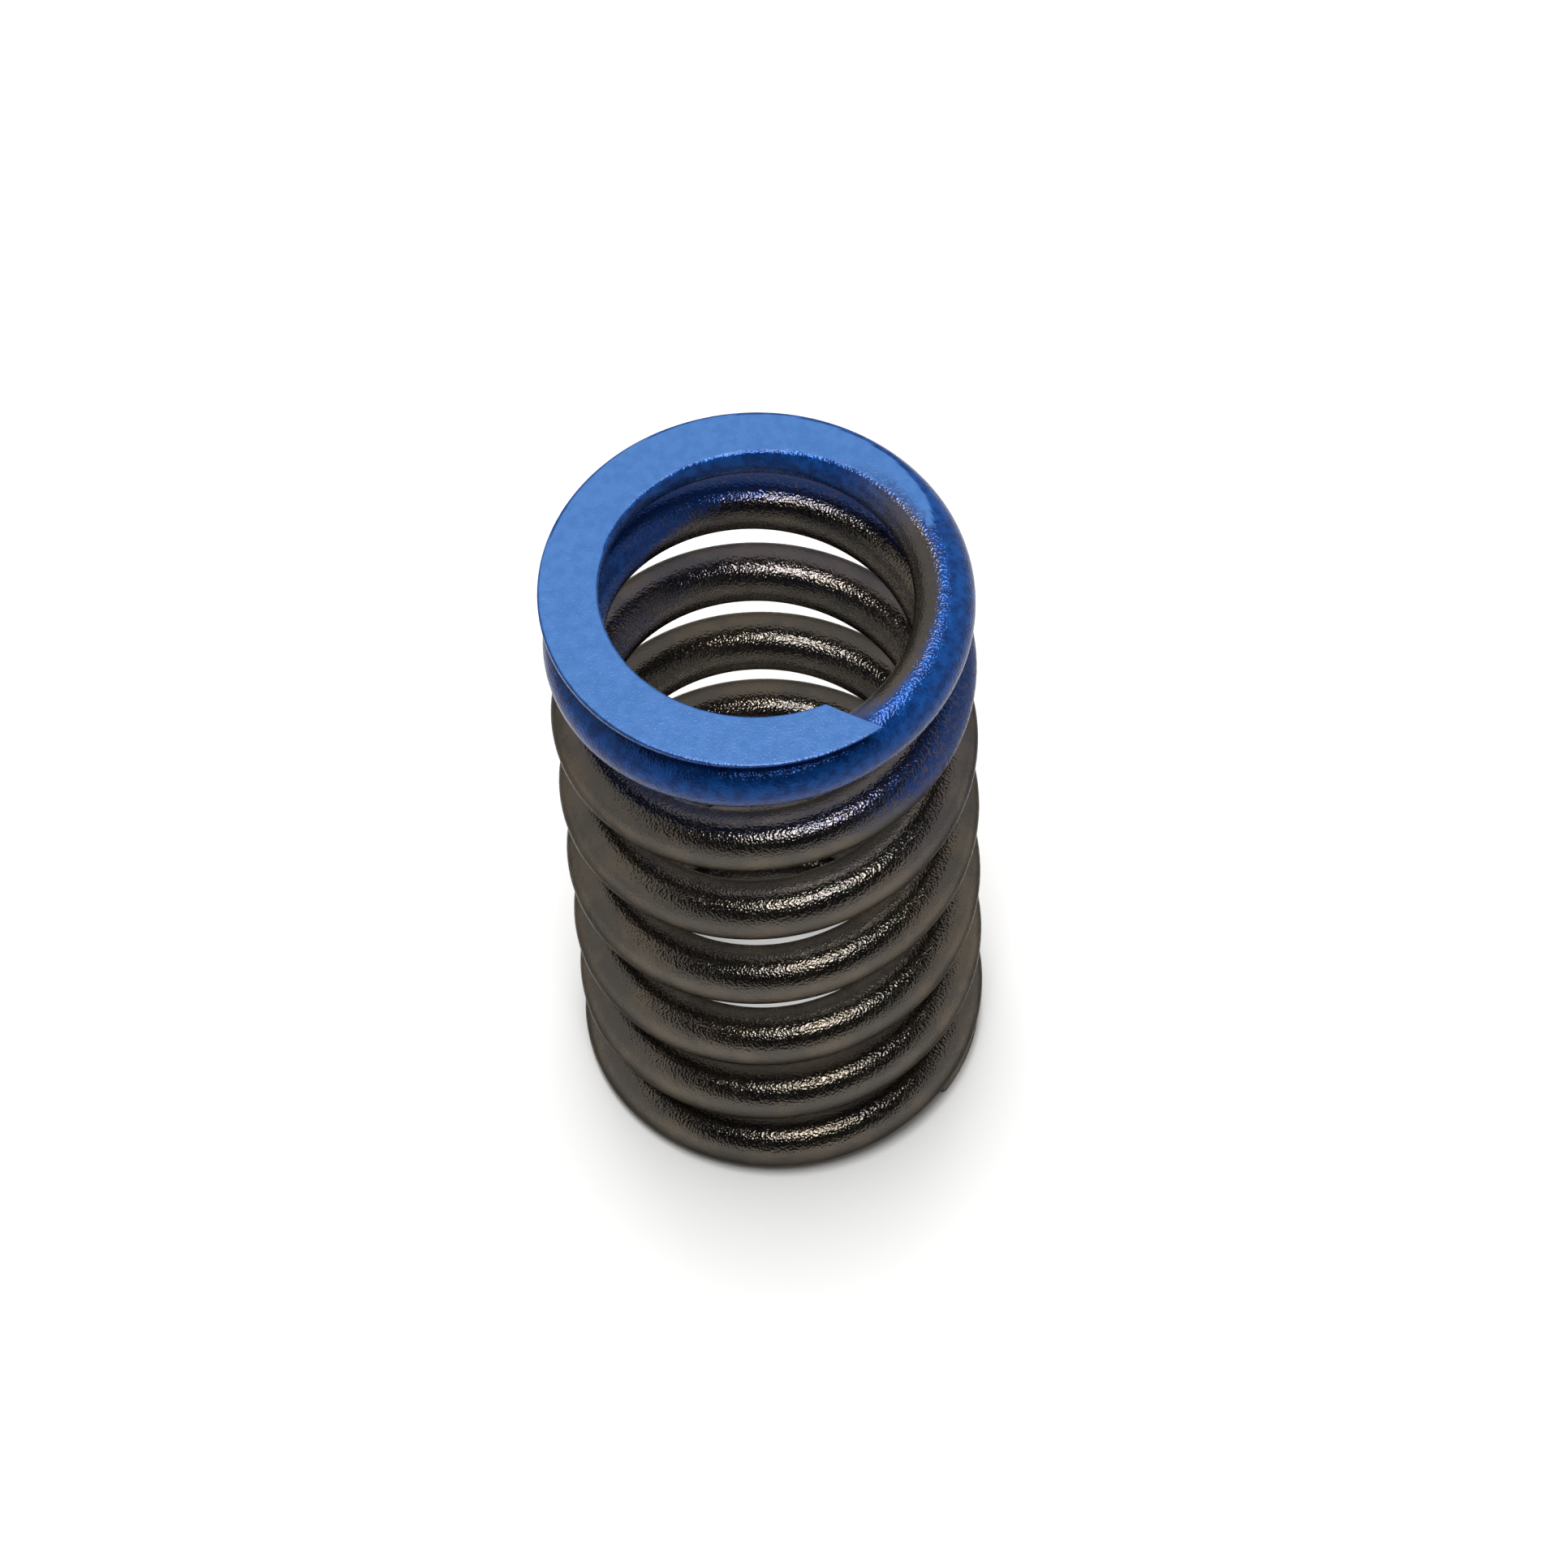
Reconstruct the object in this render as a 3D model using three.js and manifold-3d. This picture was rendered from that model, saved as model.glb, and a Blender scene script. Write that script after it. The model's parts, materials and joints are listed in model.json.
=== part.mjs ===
// A closed and ground compression coil spring, wound right-handed from one round wire.
//
// The wire is drawn as the stretches that move against each other when the spring is squeezed:
// a ground end coil at the bottom, the active coils in quarter turns, and a ground end coil on top.
// Millimetres, +Z up. The origin is the centre of the bottom seat, on the coil axis.

import * as THREE from 'three';
import { mergeVertices } from 'three/addons/utils/BufferGeometryUtils.js';
import Module from 'manifold-3d';

const wasm = await Module();
wasm.setup();

// Driving dimensions
const WIRE_DIAMETER = 4.0;
const MEAN_COIL_RADIUS = 12.25;
const TURNS = 7.94; // from one wire tip to the other
const BOTTOM_TIP_AZIMUTH = -40; // degrees from +X; the winding climbs anticlockwise from here
const ACTIVE_PITCH = 8.25;
const BOTTOM_TIP_THICKNESS = 0.6; // what grinding leaves of the wire at its ends
const TOP_TIP_THICKNESS = 1.1;
const TIP_SLANT = 32; // degrees, the cut-off face against a radius
const ACTIVE_QUARTERS = 22;
const SEAM_GAP = 0.3;

// Pitch of the winding in mm per turn, at turns counted from the nearer tip.
// The coils close up towards the bottom seat over three turns, and at the top over two.
const BOTTOM_PITCH = [[0, 4.1], [0.4, 4.0], [0.7, 4.0], [0.85, 4.6], [1.1, 6.9], [2.3, 7.2], [3.3, ACTIVE_PITCH]];
const TOP_PITCH = [[0, 4.4], [0.4, 3.0], [0.7, 3.4], [0.85, 7.0], [1.2, 6.9], [2.1, 8.8], [2.8, ACTIVE_PITCH]];

// Fineness of the faceted wire
const SECTION_SIDES = 12;
const STEPS_PER_TURN = 32;
const SAME_POINT = 1e-5; // corners closer than this, in mm, are one corner

// Worked out from the above
const WIRE_RADIUS = WIRE_DIAMETER / 2;
const END_TURNS = (TURNS - ACTIVE_QUARTERS / 4) / 2; // length of each rigid end coil
const HALF_SEAM = SEAM_GAP / 2 / (2 * Math.PI * MEAN_COIL_RADIUS); // in turns
const WINDING = [
  ...BOTTOM_PITCH,
  ...TOP_PITCH.map(([turn, pitch]) => [TURNS - turn, pitch]).reverse(),
];

// Rise of the wire's centre from the bottom tip, in mm: the pitch summed over the turns.
function climb(turn) {
  let height = 0;
  for (let i = 1; i < WINDING.length; i += 1) {
    const [startTurn, startPitch] = WINDING[i - 1];
    const [endTurn, endPitch] = WINDING[i];
    const covered = Math.min(turn, endTurn) - startTurn;
    if (covered <= 0) break;
    const pitchThere = startPitch + (endPitch - startPitch) * covered / (endTurn - startTurn);
    height += covered * (startPitch + pitchThere) / 2;
  }
  return height;
}

const BOTTOM_TIP_HEIGHT = BOTTOM_TIP_THICKNESS - WIRE_RADIUS; // of the wire's centre
const TOP_TIP_HEIGHT = BOTTOM_TIP_HEIGHT + climb(TURNS);
const FREE_LENGTH = TOP_TIP_HEIGHT - WIRE_RADIUS + TOP_TIP_THICKNESS;

function azimuth(turn) {
  return THREE.MathUtils.degToRad(BOTTOM_TIP_AZIMUTH) + 2 * Math.PI * turn;
}

// The wire's centre line between two turns. Past a tip it runs on level, for the cut to trim.
class WireCentreLine extends THREE.Curve {
  constructor(fromTurn, toTurn) {
    super();
    this.fromTurn = fromTurn;
    this.toTurn = toTurn;
  }

  getPoint(t, target = new THREE.Vector3()) {
    const turn = THREE.MathUtils.lerp(this.fromTurn, this.toTurn, t);
    const angle = azimuth(turn);
    const wound = THREE.MathUtils.clamp(turn, 0, TURNS);
    const height = BOTTOM_TIP_HEIGHT + climb(wound);
    return target.set(MEAN_COIL_RADIUS * Math.cos(angle), MEAN_COIL_RADIUS * Math.sin(angle), height);
  }

  // The section keeps one side facing the coil axis all along the wire.
  computeFrenetFrames(segments) {
    const frames = { tangents: [], normals: [], binormals: [] };
    for (let i = 0; i <= segments; i += 1) {
      const point = this.getPointAt(i / segments);
      const tangent = this.getTangentAt(i / segments);
      const outward = new THREE.Vector3(point.x, point.y, 0).normalize();
      const binormal = new THREE.Vector3().crossVectors(tangent, outward).normalize();
      frames.tangents.push(tangent);
      frames.normals.push(new THREE.Vector3().crossVectors(binormal, tangent));
      frames.binormals.push(binormal);
    }
    return frames;
  }
}

// A polygon of the same area as the round wire, so that the faceted wire has the real mass.
// It has flat sides towards and away from the coil axis, and on top and underneath.
function wireSection(allowance) {
  const corner = 2 * Math.PI / SECTION_SIDES;
  const radius = WIRE_RADIUS * Math.sqrt(corner / Math.sin(corner)) + allowance;
  const corners = Array.from({ length: SECTION_SIDES }, (_, i) => {
    const angle = (i + 1 / 2) * corner;
    return new THREE.Vector2(radius * Math.cos(angle), radius * Math.sin(angle));
  });
  return new THREE.Shape(corners);
}

function wireStretch(oneEnd, otherEnd, allowance = 0) {
  const fromTurn = Math.min(oneEnd, otherEnd);
  const toTurn = Math.max(oneEnd, otherEnd);
  return new THREE.ExtrudeGeometry(wireSection(allowance), {
    steps: Math.ceil((toTurn - fromTurn) * STEPS_PER_TURN),
    extrudePath: new WireCentreLine(fromTurn, toTurn),
  });
}

function toSolid(geometry) {
  const bare = geometry.clone();
  bare.deleteAttribute('normal');
  bare.deleteAttribute('uv');
  const merged = mergeVertices(bare, SAME_POINT);
  return new wasm.Manifold(new wasm.Mesh({
    numProp: 3,
    vertProperties: Float32Array.from(merged.attributes.position.array),
    triVerts: Uint32Array.from(merged.index.array),
  }));
}

function toGeometry(solid) {
  const mesh = solid.getMesh();
  const geometry = new THREE.BufferGeometry();
  geometry.setAttribute('position', new THREE.BufferAttribute(Float32Array.from(mesh.vertProperties), 3));
  geometry.setIndex(new THREE.BufferAttribute(Uint32Array.from(mesh.triVerts), 1));
  geometry.computeVertexNormals();
  return geometry;
}

// What the grinding wheel takes off: everything on the outer side of a seat plane.
function groundAway(seatHeight, side) {
  const depth = 4 * WIRE_DIAMETER;
  const width = 4 * MEAN_COIL_RADIUS;
  const block = new THREE.BoxGeometry(width, width, depth);
  block.translate(0, 0, seatHeight + side * depth / 2);
  return toSolid(block);
}

// What the cut-off blade takes off past a wire tip. The blade stands upright and runs slantwise
// through the wire's centre; side is +1 at the top tip and -1 at the bottom one.
function cutOff(tipTurn, side) {
  const size = 3 * WIRE_DIAMETER;
  const block = new THREE.BoxGeometry(size, size, size);
  block.translate(0, side * size / 2, 0);
  block.rotateZ(azimuth(tipTurn) + THREE.MathUtils.degToRad(TIP_SLANT));
  const tip = new WireCentreLine(tipTurn, tipTurn).getPoint(0);
  block.translate(tip.x, tip.y, tip.z);
  return toSolid(block);
}

// Wire past the tip, enough for the slanted cut to meet its whole section.
const SPARE_TURNS = 0.02;
// The tip nearly touches its own next turn, so the wire further back than this stays out of
// the cut, with a little room around it.
const KEPT_TURNS = 0.2;
const KEPT_ROOM = 0.05;

function endCoil(tipTurn, seamTurn, seatHeight, side) {
  const wire = toSolid(wireStretch(tipTurn + side * SPARE_TURNS, seamTurn));
  const kept = toSolid(wireStretch(tipTurn - side * KEPT_TURNS, seamTurn, KEPT_ROOM));
  const trimmed = wire.subtract(cutOff(tipTurn, side).subtract(kept));
  return toGeometry(trimmed.subtract(groundAway(seatHeight, side)));
}

const DARK_STEEL = { color: 0x2b2724, roughness: 0.45, metalness: 0.9 };
const BLUE_PAINT = { color: 0x2f62b8, roughness: 0.5, metalness: 0.1 };

function piece(name, geometry, look) {
  const mesh = new THREE.Mesh(geometry, new THREE.MeshStandardMaterial(look));
  mesh.name = name;
  return mesh;
}

function bottomEndCoil() {
  return piece('bottom_end_coil', endCoil(0, END_TURNS - HALF_SEAM, 0, -1), DARK_STEEL);
}

function topEndCoil() {
  const seamTurn = TURNS - END_TURNS + HALF_SEAM;
  return piece('top_end_coil', endCoil(TURNS, seamTurn, FREE_LENGTH, 1), BLUE_PAINT);
}

function activeQuarter(index) {
  const name = `active_coil_${Math.floor(index / 4) + 1}_quarter_${index % 4 + 1}`;
  const fromTurn = END_TURNS + index / 4;
  return piece(name, wireStretch(fromTurn + HALF_SEAM, fromTurn + 1 / 4 - HALF_SEAM), DARK_STEEL);
}

const spring = new THREE.Group();
spring.name = 'coil_spring';
spring.add(bottomEndCoil());
for (let index = 0; index < ACTIVE_QUARTERS; index += 1) {
  spring.add(activeQuarter(index));
}
spring.add(topEndCoil());

export default spring;
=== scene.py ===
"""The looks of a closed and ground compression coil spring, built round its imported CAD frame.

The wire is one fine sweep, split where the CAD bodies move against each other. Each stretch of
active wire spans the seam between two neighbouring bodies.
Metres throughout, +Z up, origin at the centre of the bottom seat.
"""

import json
import math

import bpy
import numpy as np
from mathutils import Matrix, Vector

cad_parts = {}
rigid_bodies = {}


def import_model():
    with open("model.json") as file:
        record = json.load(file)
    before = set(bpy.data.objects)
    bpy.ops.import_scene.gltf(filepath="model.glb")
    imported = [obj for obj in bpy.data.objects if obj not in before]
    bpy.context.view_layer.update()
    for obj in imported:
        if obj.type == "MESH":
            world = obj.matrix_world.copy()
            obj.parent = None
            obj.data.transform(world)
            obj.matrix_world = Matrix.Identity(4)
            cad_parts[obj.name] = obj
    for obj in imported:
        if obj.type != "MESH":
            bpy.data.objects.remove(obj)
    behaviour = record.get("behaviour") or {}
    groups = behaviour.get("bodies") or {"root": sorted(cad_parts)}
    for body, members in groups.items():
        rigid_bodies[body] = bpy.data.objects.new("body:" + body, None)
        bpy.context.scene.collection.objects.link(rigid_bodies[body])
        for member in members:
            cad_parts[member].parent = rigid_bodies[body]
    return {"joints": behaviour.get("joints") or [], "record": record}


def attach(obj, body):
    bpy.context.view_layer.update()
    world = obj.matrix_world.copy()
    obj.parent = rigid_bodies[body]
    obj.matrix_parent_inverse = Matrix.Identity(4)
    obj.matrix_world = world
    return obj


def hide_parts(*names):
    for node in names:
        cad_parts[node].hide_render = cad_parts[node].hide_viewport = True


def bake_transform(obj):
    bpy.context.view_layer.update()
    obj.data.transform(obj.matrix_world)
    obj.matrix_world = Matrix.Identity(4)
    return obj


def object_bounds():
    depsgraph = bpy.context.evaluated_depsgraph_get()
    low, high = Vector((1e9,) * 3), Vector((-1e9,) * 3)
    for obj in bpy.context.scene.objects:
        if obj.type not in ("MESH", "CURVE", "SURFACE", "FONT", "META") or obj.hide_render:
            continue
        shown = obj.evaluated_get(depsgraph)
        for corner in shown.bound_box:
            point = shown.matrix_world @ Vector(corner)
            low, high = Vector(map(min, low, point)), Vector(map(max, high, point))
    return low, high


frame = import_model()
cad_low, cad_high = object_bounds()

# The winding, as in the CAD model
MM = 0.001
WIRE_RADIUS = 2.0 * MM
COIL_RADIUS = 12.25 * MM
TURNS = 7.94
BOTTOM_TIP_AZIMUTH = math.radians(-40)
ACTIVE_PITCH = 8.25
BOTTOM_TIP_THICKNESS = 0.6 * MM
TIP_SLANT = math.radians(32)
ACTIVE_QUARTERS = 22
# Pitch in mm per turn, at turns counted from the nearer tip
BOTTOM_PITCH = [
    (0, 4.1), (0.4, 4.0), (0.7, 4.0), (0.85, 4.6), (1.1, 6.9), (2.3, 7.2), (3.3, ACTIVE_PITCH),
]
TOP_PITCH = [
    (0, 4.4), (0.4, 3.0), (0.7, 3.4), (0.85, 7.0), (1.2, 6.9), (2.1, 8.8), (2.8, ACTIVE_PITCH),
]

FREE_LENGTH = cad_high.z
END_TURNS = (TURNS - ACTIVE_QUARTERS / 4) / 2
BOTTOM_TIP_HEIGHT = BOTTOM_TIP_THICKNESS - WIRE_RADIUS  # of the wire's centre

# Fineness of the mesh
RINGS_PER_TURN = 144
POINTS_ROUND_ACTIVE = 72
POINTS_ROUND_END = 144

# Finish of the ground ends
DEBURR = 0.22 * MM  # rounding along the edges of the ground flats
TIP_EDGE = 0.12 * MM  # rounding round the cut faces of the wire tips
ON_FLAT = 0.01 * MM  # what lies this close to a seat plane was ground
SLANT_TURNS = 0.09  # the sections lean over to the slant of the cut along this much wire
EDGE_STEPS = [0.0, 0.15, 0.35, 0.6, 0.85, 1.0]  # rings across the rounding of a tip

# The spray of blue paint, in turns from the top tip and mm from the spring's axis
COAT_END = (1.5, 1.3)  # the solid coat fades in between these turns
MISSED_START = (0.66, 0.80)  # the bare inner side of the last round turn fades in and out
MISSED_END = (1.02, 0.95)
MISSED_RADIUS = (12.4, 11.5)
NOZZLE_AZIMUTH = math.radians(7)
NOZZLE_ELEVATION = math.radians(36)
LEAST_FACING, FACING_RANGE = 0.15, 0.6  # cosines, from no drifted paint to the most
DRIFT_START, DRIFT_LENGTH = 1.3, 2.3  # turns over which the drifted paint thins out to nothing
PAINTED_TURNS = 1.6  # stretches within this of the top tip go by the name of the paint


def pitch_nodes():
    """Turns and pitches along the whole wire."""
    nodes = BOTTOM_PITCH + [(TURNS - turn, pitch) for turn, pitch in reversed(TOP_PITCH)]
    turns, pitches = zip(*nodes)
    return np.array(turns), np.array(pitches) * MM


def climb_table(samples=4000):
    """The rise of the wire's centre above the bottom tip, at evenly spaced turns."""
    turns = np.linspace(0, TURNS, samples)
    pitches = np.interp(turns, *pitch_nodes())
    rises = np.diff(turns) * (pitches[1:] + pitches[:-1]) / 2
    return turns, np.concatenate([[0], np.cumsum(rises)])


CLIMB_TURNS, CLIMB_HEIGHTS = climb_table()


def centre_height(turn):
    """Past a tip the wire runs on level, as the cut leaves nothing of it there."""
    return BOTTOM_TIP_HEIGHT + np.interp(turn, CLIMB_TURNS, CLIMB_HEIGHTS)


def wire_slope(turn):
    return np.interp(turn, *pitch_nodes()) / (2 * math.pi * COIL_RADIUS)


def soft_least(a, b, blend):
    """The smaller of a and b, rounded over where they are within blend of each other."""
    nearness = np.maximum(blend - np.abs(a - b), 0) / blend
    return np.minimum(a, b) - nearness**2 * blend / 4


def section(turn, around):
    """The wire's upright section at each turn: how far out and up each of its points is from the
    wire's centre, and how far up its middle is. It is a circle, cut off flat at the two seat
    planes, with deburred edges."""
    height = centre_height(turn)
    stretch = np.sqrt(1 + wire_slope(turn) ** 2)  # an upright cut through a climbing wire is taller
    tall = WIRE_RADIUS * stretch
    top = np.minimum(FREE_LENGTH - height, tall)
    bottom = np.maximum(-height, -tall)
    middle = (top + bottom) / 2
    half_height = (top - bottom) / 2
    # Half the section's width, at its widest level
    widest = np.clip(0, bottom, top)
    half_width = WIRE_RADIUS * np.sqrt(1 - (widest / tall) ** 2)
    ray_out = half_width * np.cos(around)
    ray_up = half_height * np.sin(around)
    length = np.hypot(ray_out, ray_up)
    ray_out, ray_up = ray_out / length, ray_up / length
    # Distance along each ray from the middle to the wire's round surface
    a = (ray_out / WIRE_RADIUS) ** 2 + (ray_up / tall) ** 2
    b = middle * ray_up / tall**2
    c = (middle / tall) ** 2 - 1
    reach = (-b + np.sqrt(b * b - a * c)) / a
    # ... and to the two seat planes
    far = 10 * WIRE_RADIUS
    up = np.maximum(ray_up, 1e-9)
    down = np.maximum(-ray_up, 1e-9)
    to_top = np.minimum((FREE_LENGTH - height - middle) / up, far)
    to_bottom = np.minimum((middle + height) / down, far)
    reach = soft_least(soft_least(reach, to_top, DEBURR), to_bottom, DEBURR)
    return reach * ray_out, middle + reach * ray_up, middle


def smooth_step(x):
    x = np.clip(x, 0, 1)
    return x * x * (3 - 2 * x)


def wire_points(turn, around, inset):
    """Points on the wire's surface. turn, around and inset have one value for each point."""
    out = section(turn, around)[0]
    near_tip = np.minimum(turn, TURNS - turn) / SLANT_TURNS
    lean = (1 - smooth_step(near_tip)) * math.tan(TIP_SLANT) / (2 * math.pi * (COIL_RADIUS + out))
    leaned = turn + lean * out
    out, up, middle = section(leaned, around)
    shrink = 1 - inset / WIRE_RADIUS
    out = out * shrink
    up = middle + (up - middle) * shrink
    angle = BOTTOM_TIP_AZIMUTH + 2 * math.pi * leaned
    radius = COIL_RADIUS + out
    height = centre_height(leaned) + up
    return np.stack([radius * np.cos(angle), radius * np.sin(angle), height], axis=1)


def ring_turns(start, end):
    """Where the sweep's rings are, with a few close together round the edge of a cut tip."""
    count = max(2, round((end - start) * RINGS_PER_TURN) + 1)
    turns = list(np.linspace(start, end, count))
    insets = [0.0] * count
    edge = TIP_EDGE / (2 * math.pi * COIL_RADIUS)
    drops = [TIP_EDGE * (1 - math.sqrt(1 - (1 - step) ** 2)) for step in EDGE_STEPS]
    if start == 0:
        turns[:1] = [edge * step for step in EDGE_STEPS]
        insets[:1] = drops
    if end == TURNS:
        turns[-1:] = [TURNS - edge * step for step in reversed(EDGE_STEPS)]
        insets[-1:] = list(reversed(drops))
    return np.array(turns), np.array(insets)


def wire_mesh(name, start, end, points_round):
    """A closed length of wire, with smooth sides and a flat face at each end."""
    turns, insets = ring_turns(start, end)
    rings = len(turns)
    around = np.arange(points_round) * 2 * math.pi / points_round
    turn = np.repeat(turns, points_round)
    angle = np.tile(around, rings)
    points = wire_points(turn, angle, np.repeat(insets, points_round))
    faces = []
    for ring in range(rings - 1):
        low = ring * points_round
        for i in range(points_round):
            j = (i + 1) % points_round
            faces.append((low + i, low + points_round + i, low + points_round + j, low + j))
    first_cap = tuple(range(points_round))
    last_cap = tuple(reversed(range((rings - 1) * points_round, rings * points_round)))
    mesh = bpy.data.meshes.new(name)
    mesh.from_pydata(points.tolist(), [], faces + [first_cap, last_cap])
    mesh.polygons.foreach_set("use_smooth", [True] * len(faces) + [False, False])
    mesh.update()
    store(mesh, "rest", "FLOAT_VECTOR", "vector", points.ravel() / MM)
    normals = surface_normals(turn, angle)
    height = points[:, 2]
    ground = np.minimum(height, FREE_LENGTH - height) < ON_FLAT
    store(mesh, "from_top", "FLOAT", "value", TURNS - turn)
    store(mesh, "spray", "FLOAT", "value", spray_reach(turn, normals))
    store(mesh, "ground", "FLOAT", "value", ground)
    return mesh, turn, normals


def store(mesh, name, kind, field, values):
    """What the materials read: it stays as it is at rest, however the wire bends."""
    attribute = mesh.attributes.new(name, kind, "POINT")
    attribute.data.foreach_set(field, np.asarray(values, np.float32))


def spray_reach(turn, normals):
    """How much of the paint sprayed at the top coil drifted onto the wire below it. The spray came
    from above the right-hand side, so it reached the outside there and, through the bore, the
    inside on the left."""
    level = math.cos(NOZZLE_ELEVATION)
    towards_nozzle = np.array([
        level * math.cos(NOZZLE_AZIMUTH), level * math.sin(NOZZLE_AZIMUTH), math.sin(NOZZLE_ELEVATION),
    ])
    facing = smooth_step((normals @ towards_nozzle - LEAST_FACING) / FACING_RANGE)
    return facing * (1 - smooth_step((TURNS - turn - DRIFT_START) / DRIFT_LENGTH))


def surface_normals(turn, around):
    """Outward normals of the swept surface, from two small steps along it."""
    step_turn, step_around = 1e-4, 1e-3
    none = np.zeros(len(turn))
    along = (wire_points(np.minimum(turn + step_turn, TURNS), around, none)
             - wire_points(np.maximum(turn - step_turn, 0), around, none))
    across = (wire_points(turn, around + step_around, none)
              - wire_points(turn, around - step_around, none))
    normals = np.cross(along, across)
    normals /= np.linalg.norm(normals, axis=1)[:, None]
    return normals


def smooth_seams(mesh, turn, normals, points_round):
    """Gives the sides the true surface's normals at the seams, so that neighbouring stretches
    shade as one. The two end faces, which come last in the mesh, keep their own."""
    corner_count = len(mesh.loops)
    corners = np.empty(corner_count, int)
    mesh.loops.foreach_get("vertex_index", corners)
    corner_normals = np.empty(corner_count * 3)
    mesh.corner_normals.foreach_get("vector", corner_normals)
    corner_normals = corner_normals.reshape(-1, 3)
    at_seam = ((turn == turn[0]) & (turn > 0)) | ((turn == turn[-1]) & (turn < TURNS))
    on_side = np.arange(corner_count) < corner_count - 2 * points_round
    chosen = at_seam[corners] & on_side
    corner_normals[chosen] = normals[corners[chosen]]
    mesh.normals_split_custom_set(corner_normals.tolist())


def wire_piece(name, start, end, points_round, material):
    mesh, turn, normals = wire_mesh(name, start, end, points_round)
    smooth_seams(mesh, turn, normals, points_round)
    piece = bpy.data.objects.new(name, mesh)
    bpy.context.scene.collection.objects.link(piece)
    mesh.materials.append(material)
    return piece


# Materials

class Nodes:
    """Short forms for putting a shader together."""

    def __init__(self, material):
        material.use_nodes = True
        self.tree = material.node_tree
        self.shader = self.tree.nodes["Principled BSDF"]

    def add(self, kind, **settings):
        node = self.tree.nodes.new(kind)
        for name, value in settings.items():
            setattr(node, name, value)
        return node

    def put(self, socket, value):
        if isinstance(value, bpy.types.NodeSocket):
            self.tree.links.new(value, socket)
        else:
            socket.default_value = value

    def attribute(self, name, output):
        return self.add("ShaderNodeAttribute", attribute_name=name).outputs[output]

    def maths(self, operation, first, second=0.0, clamp=False):
        node = self.add("ShaderNodeMath", operation=operation, use_clamp=clamp)
        self.put(node.inputs[0], first)
        self.put(node.inputs[1], second)
        return node.outputs[0]

    def scaled(self, value, by, clamp=False):
        return self.maths("MULTIPLY", value, by, clamp)

    def noise(self, where, scale, detail=2.0, roughness=0.5):
        node = self.add("ShaderNodeTexNoise")
        self.put(node.inputs["Vector"], where)
        self.put(node.inputs["Scale"], scale)
        self.put(node.inputs["Detail"], detail)
        self.put(node.inputs["Roughness"], roughness)
        return node.outputs["Fac"]

    def wobble(self, where, scale, detail, roughness, reach):
        """Noise about 0, half of reach at the very most to either side."""
        centred = self.maths("SUBTRACT", self.noise(where, scale, detail, roughness), 0.5)
        return self.scaled(centred, reach)

    def cells(self, where, scale):
        node = self.add("ShaderNodeTexVoronoi", feature="SMOOTH_F1")
        self.put(node.inputs["Vector"], where)
        self.put(node.inputs["Scale"], scale)
        self.put(node.inputs["Smoothness"], 0.6)
        return node.outputs["Distance"]

    def spread(self, value, low, high, to_low=0.0, to_high=1.0):
        """Maps low..high smoothly onto to_low..to_high."""
        node = self.add("ShaderNodeMapRange", interpolation_type="SMOOTHSTEP")
        for socket, setting in zip(node.inputs, (value, low, high, to_low, to_high)):
            self.put(socket, setting)
        return node.outputs[0]

    def mix(self, share, first, second):
        node = self.add("ShaderNodeMix", data_type="RGBA")
        self.put(node.inputs["Factor"], share)
        self.put(node.inputs["A"], first)
        self.put(node.inputs["B"], second)
        return node.outputs["Result"]

    def split(self, vector):
        node = self.add("ShaderNodeSeparateXYZ")
        self.put(node.inputs[0], vector)
        return node.outputs

    def bump(self, height, distance, strength=1.0, below=None):
        node = self.add("ShaderNodeBump")
        self.put(node.inputs["Strength"], strength)
        self.put(node.inputs["Distance"], distance)
        self.put(node.inputs["Height"], height)
        if below is not None:
            self.put(node.inputs["Normal"], below)
        return node.outputs[0]


DARK_STEEL = (0.078, 0.071, 0.063, 1)
BROWN_STEEL = (0.108, 0.092, 0.074, 1)
RUSTY = (0.22, 0.085, 0.035, 1)
MOST_RUST, MOST_TINT = 0.35, 0.25  # how strongly rust and paint mist show in the steel's colour
SHADED_DEEP_BLUE = (0.002, 0.022, 0.105, 1)  # the paint on the round wire, darker than the same paint on the flats as painted shade
SHADED_BLUE = (0.004, 0.045, 0.190, 1)
FLAT_BLUE = (0.030, 0.096, 0.258, 1)  # ... and on the ground flat
PALE_BLUE = (0.038, 0.108, 0.286, 1)
SPECK_BLUE = (0.010, 0.034, 0.14, 1)
THIN_BLUE = (0.010, 0.035, 0.18, 1)

STEEL_METAL, PAINT_METAL, FLAT_METAL = 0.95, 0.30, 0.0
SPECK_COVER = 0.7  # how far a speck of paint hides the steel's metallic look
SMOOTHEST, ROUGHEST, FLAT_ROUGHER = 0.11, 0.20, 0.06
GLOSS_TINT = (0.3, 0.3, 0.3, 1)

# Relief of the shot-peened surface: how fine, per mm, and how deep
WAVES = (1.6, 0.018 * MM)
DIMPLES = (6.0, 0.030 * MM)
GRAIN = (9.0, 0.013 * MM)
FLAT_RELIEF = 0.6  # of the waves and dimples, this much is left on the ground flats


def solid_paint(n, rest, from_top):
    """How far the blue coat covers the wire, 0 to 1: all of the top coil, but for the inner side
    of its round stretch, where the spray didn't reach."""
    upper = n.spread(n.maths("ADD", from_top, n.wobble(rest, 0.5, 3.0, 0.5, 0.5)), *COAT_END)
    x, y, _ = n.split(rest)
    radius = n.maths("SQRT", n.maths("ADD", n.scaled(x, x), n.scaled(y, y)))
    ragged_radius = n.maths("ADD", radius, n.wobble(rest, 2.6, 3.0, 0.7, 1.6))
    missed = n.spread(ragged_radius, *MISSED_RADIUS)
    last_round_turn = n.scaled(n.spread(from_top, *MISSED_START), n.spread(from_top, *MISSED_END))
    return n.scaled(upper, n.maths("SUBTRACT", 1.0, n.scaled(missed, last_round_turn)))


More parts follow.
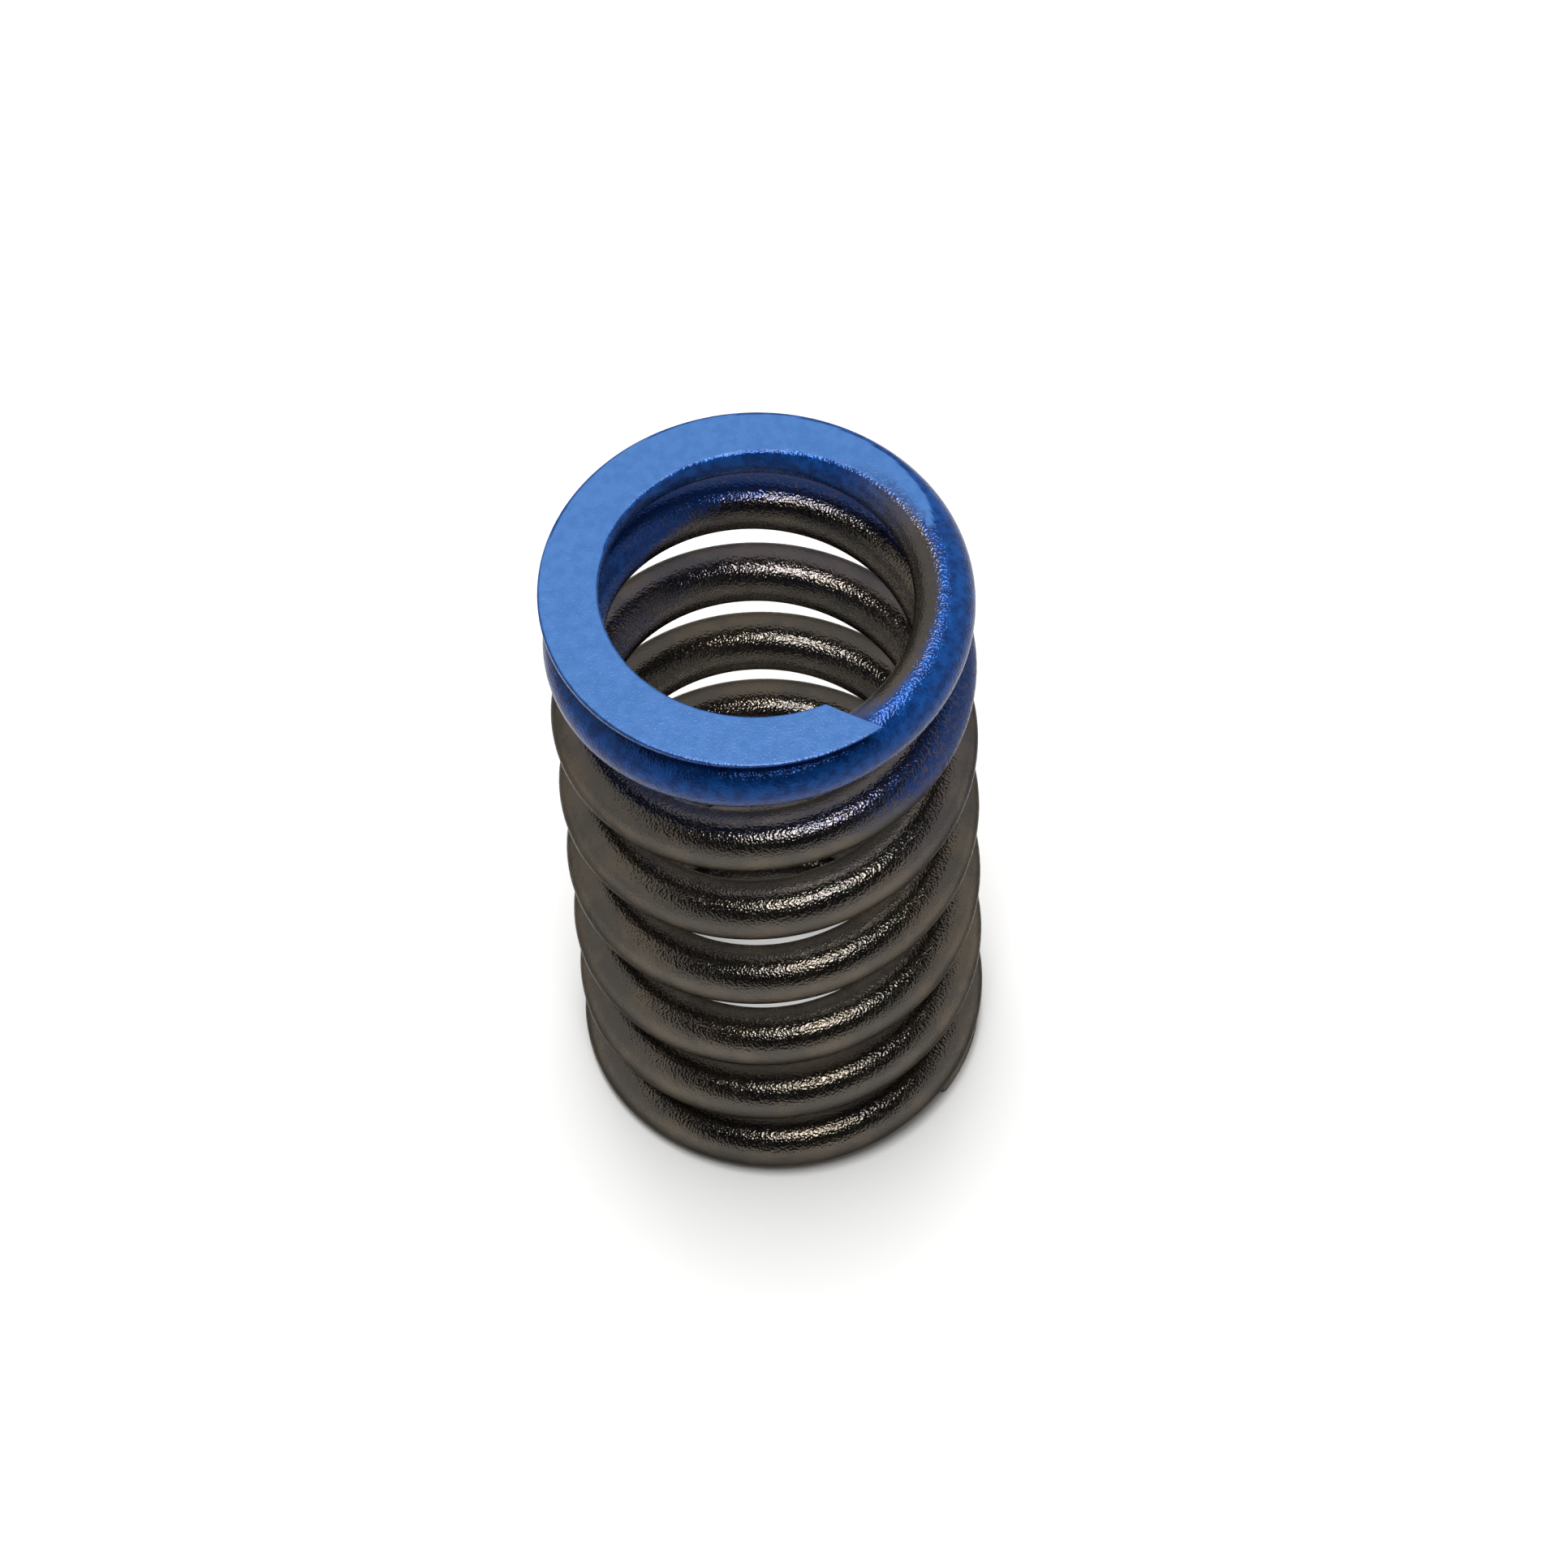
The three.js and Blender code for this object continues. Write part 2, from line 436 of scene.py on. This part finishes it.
def paint_specks(n, rest, spray):
    """The specks in which the spray drifted further down, 0 to 1."""
    specks = n.spread(n.maths("ADD", spray, n.wobble(rest, 3.0, 4.0, 0.75, 2.2)), 0.45, 0.95)
    return n.scaled(specks, n.scaled(spray, 1.2), clamp=True)


def steel_colour(n, rest, mottle, spray):
    """Dark and brownish patches, small rust marks and a mist of paint."""
    patches = n.spread(n.noise(rest, 0.28, 4.0, 0.6), 0.40, 0.66)
    steel = n.mix(patches, DARK_STEEL, BROWN_STEEL)
    rusted = n.mix(n.spread(mottle, 0.62, 0.80, 0.0, MOST_RUST), steel, RUSTY)
    return n.mix(n.scaled(spray, MOST_TINT), rusted, THIN_BLUE)


def relief(n, rest, ground):
    """The dimples left by shot peening, shallower where the wire was ground."""
    strength = n.spread(ground, 0.0, 1.0, 1.0, FLAT_RELIEF)
    normal = n.bump(n.noise(rest, WAVES[0], 2.0, 0.5), WAVES[1], strength)
    normal = n.bump(n.cells(rest, DIMPLES[0]), DIMPLES[1], strength, below=normal)
    return n.bump(n.noise(rest, GRAIN[0], 2.0, 0.6), GRAIN[1], below=normal)


def wire_material(name):
    """Shot-peened dark spring steel under blue paint that thins out down the spring."""
    material = bpy.data.materials.new(name)
    n = Nodes(material)
    rest = n.attribute("rest", "Vector")
    from_top = n.attribute("from_top", "Fac")
    spray = n.attribute("spray", "Fac")
    ground = n.attribute("ground", "Fac")
    solid = solid_paint(n, rest, from_top)
    specks = paint_specks(n, rest, spray)
    mottle = n.noise(rest, 2.2, 3.0, 0.6)

    patches = n.spread(n.noise(rest, 1.4, 3.0), 0.35, 0.65)
    # the round wire's paint is darker than the flats' paint: painted shade
    paint = n.mix(ground, n.mix(patches, SHADED_DEEP_BLUE, SHADED_BLUE), n.mix(patches, FLAT_BLUE, PALE_BLUE))
    speckled = n.mix(specks, steel_colour(n, rest, mottle, spray), SPECK_BLUE)
    n.put(n.shader.inputs["Base Color"], n.mix(solid, speckled, paint))

    cover = n.maths("MAXIMUM", solid, n.scaled(specks, SPECK_COVER))
    paint_metal = n.spread(ground, 0.0, 1.0, PAINT_METAL, FLAT_METAL)
    less_metal = n.scaled(cover, n.maths("SUBTRACT", paint_metal, STEEL_METAL))
    n.put(n.shader.inputs["Metallic"], n.maths("ADD", less_metal, STEEL_METAL))

    roughness = n.spread(mottle, 0.3, 0.7, SMOOTHEST, ROUGHEST)
    n.put(n.shader.inputs["Roughness"], n.maths("ADD", roughness, n.scaled(ground, FLAT_ROUGHER)))
    n.put(n.shader.inputs["Specular Tint"], GLOSS_TINT)
    n.put(n.shader.inputs["Normal"], relief(n, rest, ground))
    return material


# The spring

def seam(index):
    """The turn at which body number index meets the next one."""
    return END_TURNS + index / 4


def build_spring():
    """One piece for each ground end, and between them a stretch of wire for every joint."""
    steel = wire_material("spring_steel")
    painted = wire_material("blue_paint")
    joints = frame["joints"]
    bodies = [joints[0]["parent"]] + [joint["child"] for joint in joints]
    nodes = frame["record"]["behaviour"]["bodies"]
    half_bend = 1 / 8

    bottom = wire_piece("bottom_ground_coil", 0, seam(0) - half_bend, POINTS_ROUND_END, steel)
    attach(bottom, bodies[0])
    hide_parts(*nodes[bodies[0]])

    for index, (below, above) in enumerate(zip(bodies, bodies[1:])):
        middle = seam(index)
        is_painted = TURNS - middle < PAINTED_TURNS
        stretch = wire_piece(f"wire_stretch_{index + 1:02d}", middle - half_bend, middle + half_bend,
                             POINTS_ROUND_ACTIVE, painted if is_painted else steel)
        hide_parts(*nodes[below], *nodes[above])
        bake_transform(stretch)

    top_start = seam(len(joints) - 1) + half_bend
    top = wire_piece("top_ground_coil", top_start, TURNS, POINTS_ROUND_END, painted)
    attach(top, bodies[-1])
    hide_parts(*nodes[bodies[-1]])


# The studio

def build_floor():
    """A plain pale sheet, large enough to fill every view."""
    size = 3.0
    mesh = bpy.data.meshes.new("floor")
    corners = [(-size, -size, 0), (size, -size, 0), (size, size, 0), (-size, size, 0)]
    mesh.from_pydata(corners, [], [(0, 1, 2, 3)])
    floor = bpy.data.objects.new("floor", mesh)
    bpy.context.scene.collection.objects.link(floor)
    material = bpy.data.materials.new("floor_paper")
    n = Nodes(material)
    n.put(n.shader.inputs["Base Color"], (0.70, 0.70, 0.695, 1))
    n.put(n.shader.inputs["Roughness"], 0.9)
    n.put(n.shader.inputs["Specular IOR Level"], 0.1)
    mesh.materials.append(material)


def soft_box():
    """A long soft light overhead, from above the camera's side to behind the spring."""
    front, back, width, height = -0.25, 0.16, 0.14, 0.50
    radiance = 21  # W / (m2 sr)
    data = bpy.data.lights.new("soft_box", "AREA")
    data.shape = "RECTANGLE"
    data.size = width
    data.size_y = back - front
    data.energy = radiance * math.pi * width * (back - front)
    light = bpy.data.objects.new("soft_box", data)
    light.location = (0, (front + back) / 2, height)
    bpy.context.scene.collection.objects.link(light)


def build_world():
    """A white light tent, open towards the camera: the wire's black bands reflect that dark
    opening and its sheen the tent. The camera itself sees a pale backdrop."""
    tent, opening, backdrop = 0.90, 0.003, 1.0  # strengths
    opening_elevation = math.radians(56)
    opening_edge = math.radians(50), math.radians(46)  # away from its middle, where it fades
    world = bpy.data.worlds.new("light_tent")
    bpy.context.scene.world = world
    world.use_nodes = True
    tree = world.node_tree
    where = tree.nodes.new("ShaderNodeTexCoord")
    nearness = tree.nodes.new("ShaderNodeVectorMath")
    nearness.operation = "DOT_PRODUCT"
    nearness.inputs[1].default_value = (0, -math.cos(opening_elevation), math.sin(opening_elevation))
    tree.links.new(where.outputs["Generated"], nearness.inputs[0])
    fade = tree.nodes.new("ShaderNodeMapRange")
    fade.interpolation_type = "SMOOTHSTEP"
    tree.links.new(nearness.outputs["Value"], fade.inputs[0])
    for socket, value in zip(fade.inputs[1:5], (*map(math.cos, opening_edge), tent, opening)):
        socket.default_value = value
    room = tree.nodes["Background"]
    room.inputs["Color"].default_value = (1.0, 0.985, 0.96, 1)
    tree.links.new(fade.outputs[0], room.inputs["Strength"])
    behind = tree.nodes.new("ShaderNodeBackground")
    behind.inputs["Color"].default_value = (0.93, 0.93, 0.92, 1)
    behind.inputs["Strength"].default_value = backdrop
    path = tree.nodes.new("ShaderNodeLightPath")
    mix = tree.nodes.new("ShaderNodeMixShader")
    tree.links.new(path.outputs["Is Camera Ray"], mix.inputs[0])
    tree.links.new(room.outputs[0], mix.inputs[1])
    tree.links.new(behind.outputs[0], mix.inputs[2])
    tree.links.new(mix.outputs[0], tree.nodes["World Output"].inputs["Surface"])


def build_camera():
    """Above the front of the spring, rolled a little, and aimed a little past its middle."""
    elevation = math.radians(56.71)
    roll = math.radians(-3.68)
    distance = 428.7 * MM
    past_middle = (0.99 * MM, 1.39 * MM)  # right and up
    frame_width = 107.22 * MM  # what the picture takes in at the spring's middle
    right = Vector((1, 0, 0))
    up = Vector((0, math.sin(elevation), math.cos(elevation)))
    back = Vector((0, -math.cos(elevation), math.sin(elevation)))
    data = bpy.data.cameras.new("camera")
    data.sensor_width = 36
    data.lens = data.sensor_width * distance / frame_width
    data.clip_start = 0.01
    camera = bpy.data.objects.new("camera", data)
    aim = Vector((0, 0, FREE_LENGTH / 2)) + right * past_middle[0] + up * past_middle[1]
    rolled_right = right * math.cos(roll) + up * math.sin(roll)
    rolled_up = up * math.cos(roll) - right * math.sin(roll)
    turned = Matrix((rolled_right, rolled_up, back)).transposed().to_4x4()
    camera.matrix_world = Matrix.Translation(aim + back * distance) @ turned
    bpy.context.scene.collection.objects.link(camera)
    bpy.context.scene.camera = camera


build_camera()
build_spring()
build_floor()
build_world()
soft_box()
bpy.context.scene.view_settings.view_transform = "Standard"
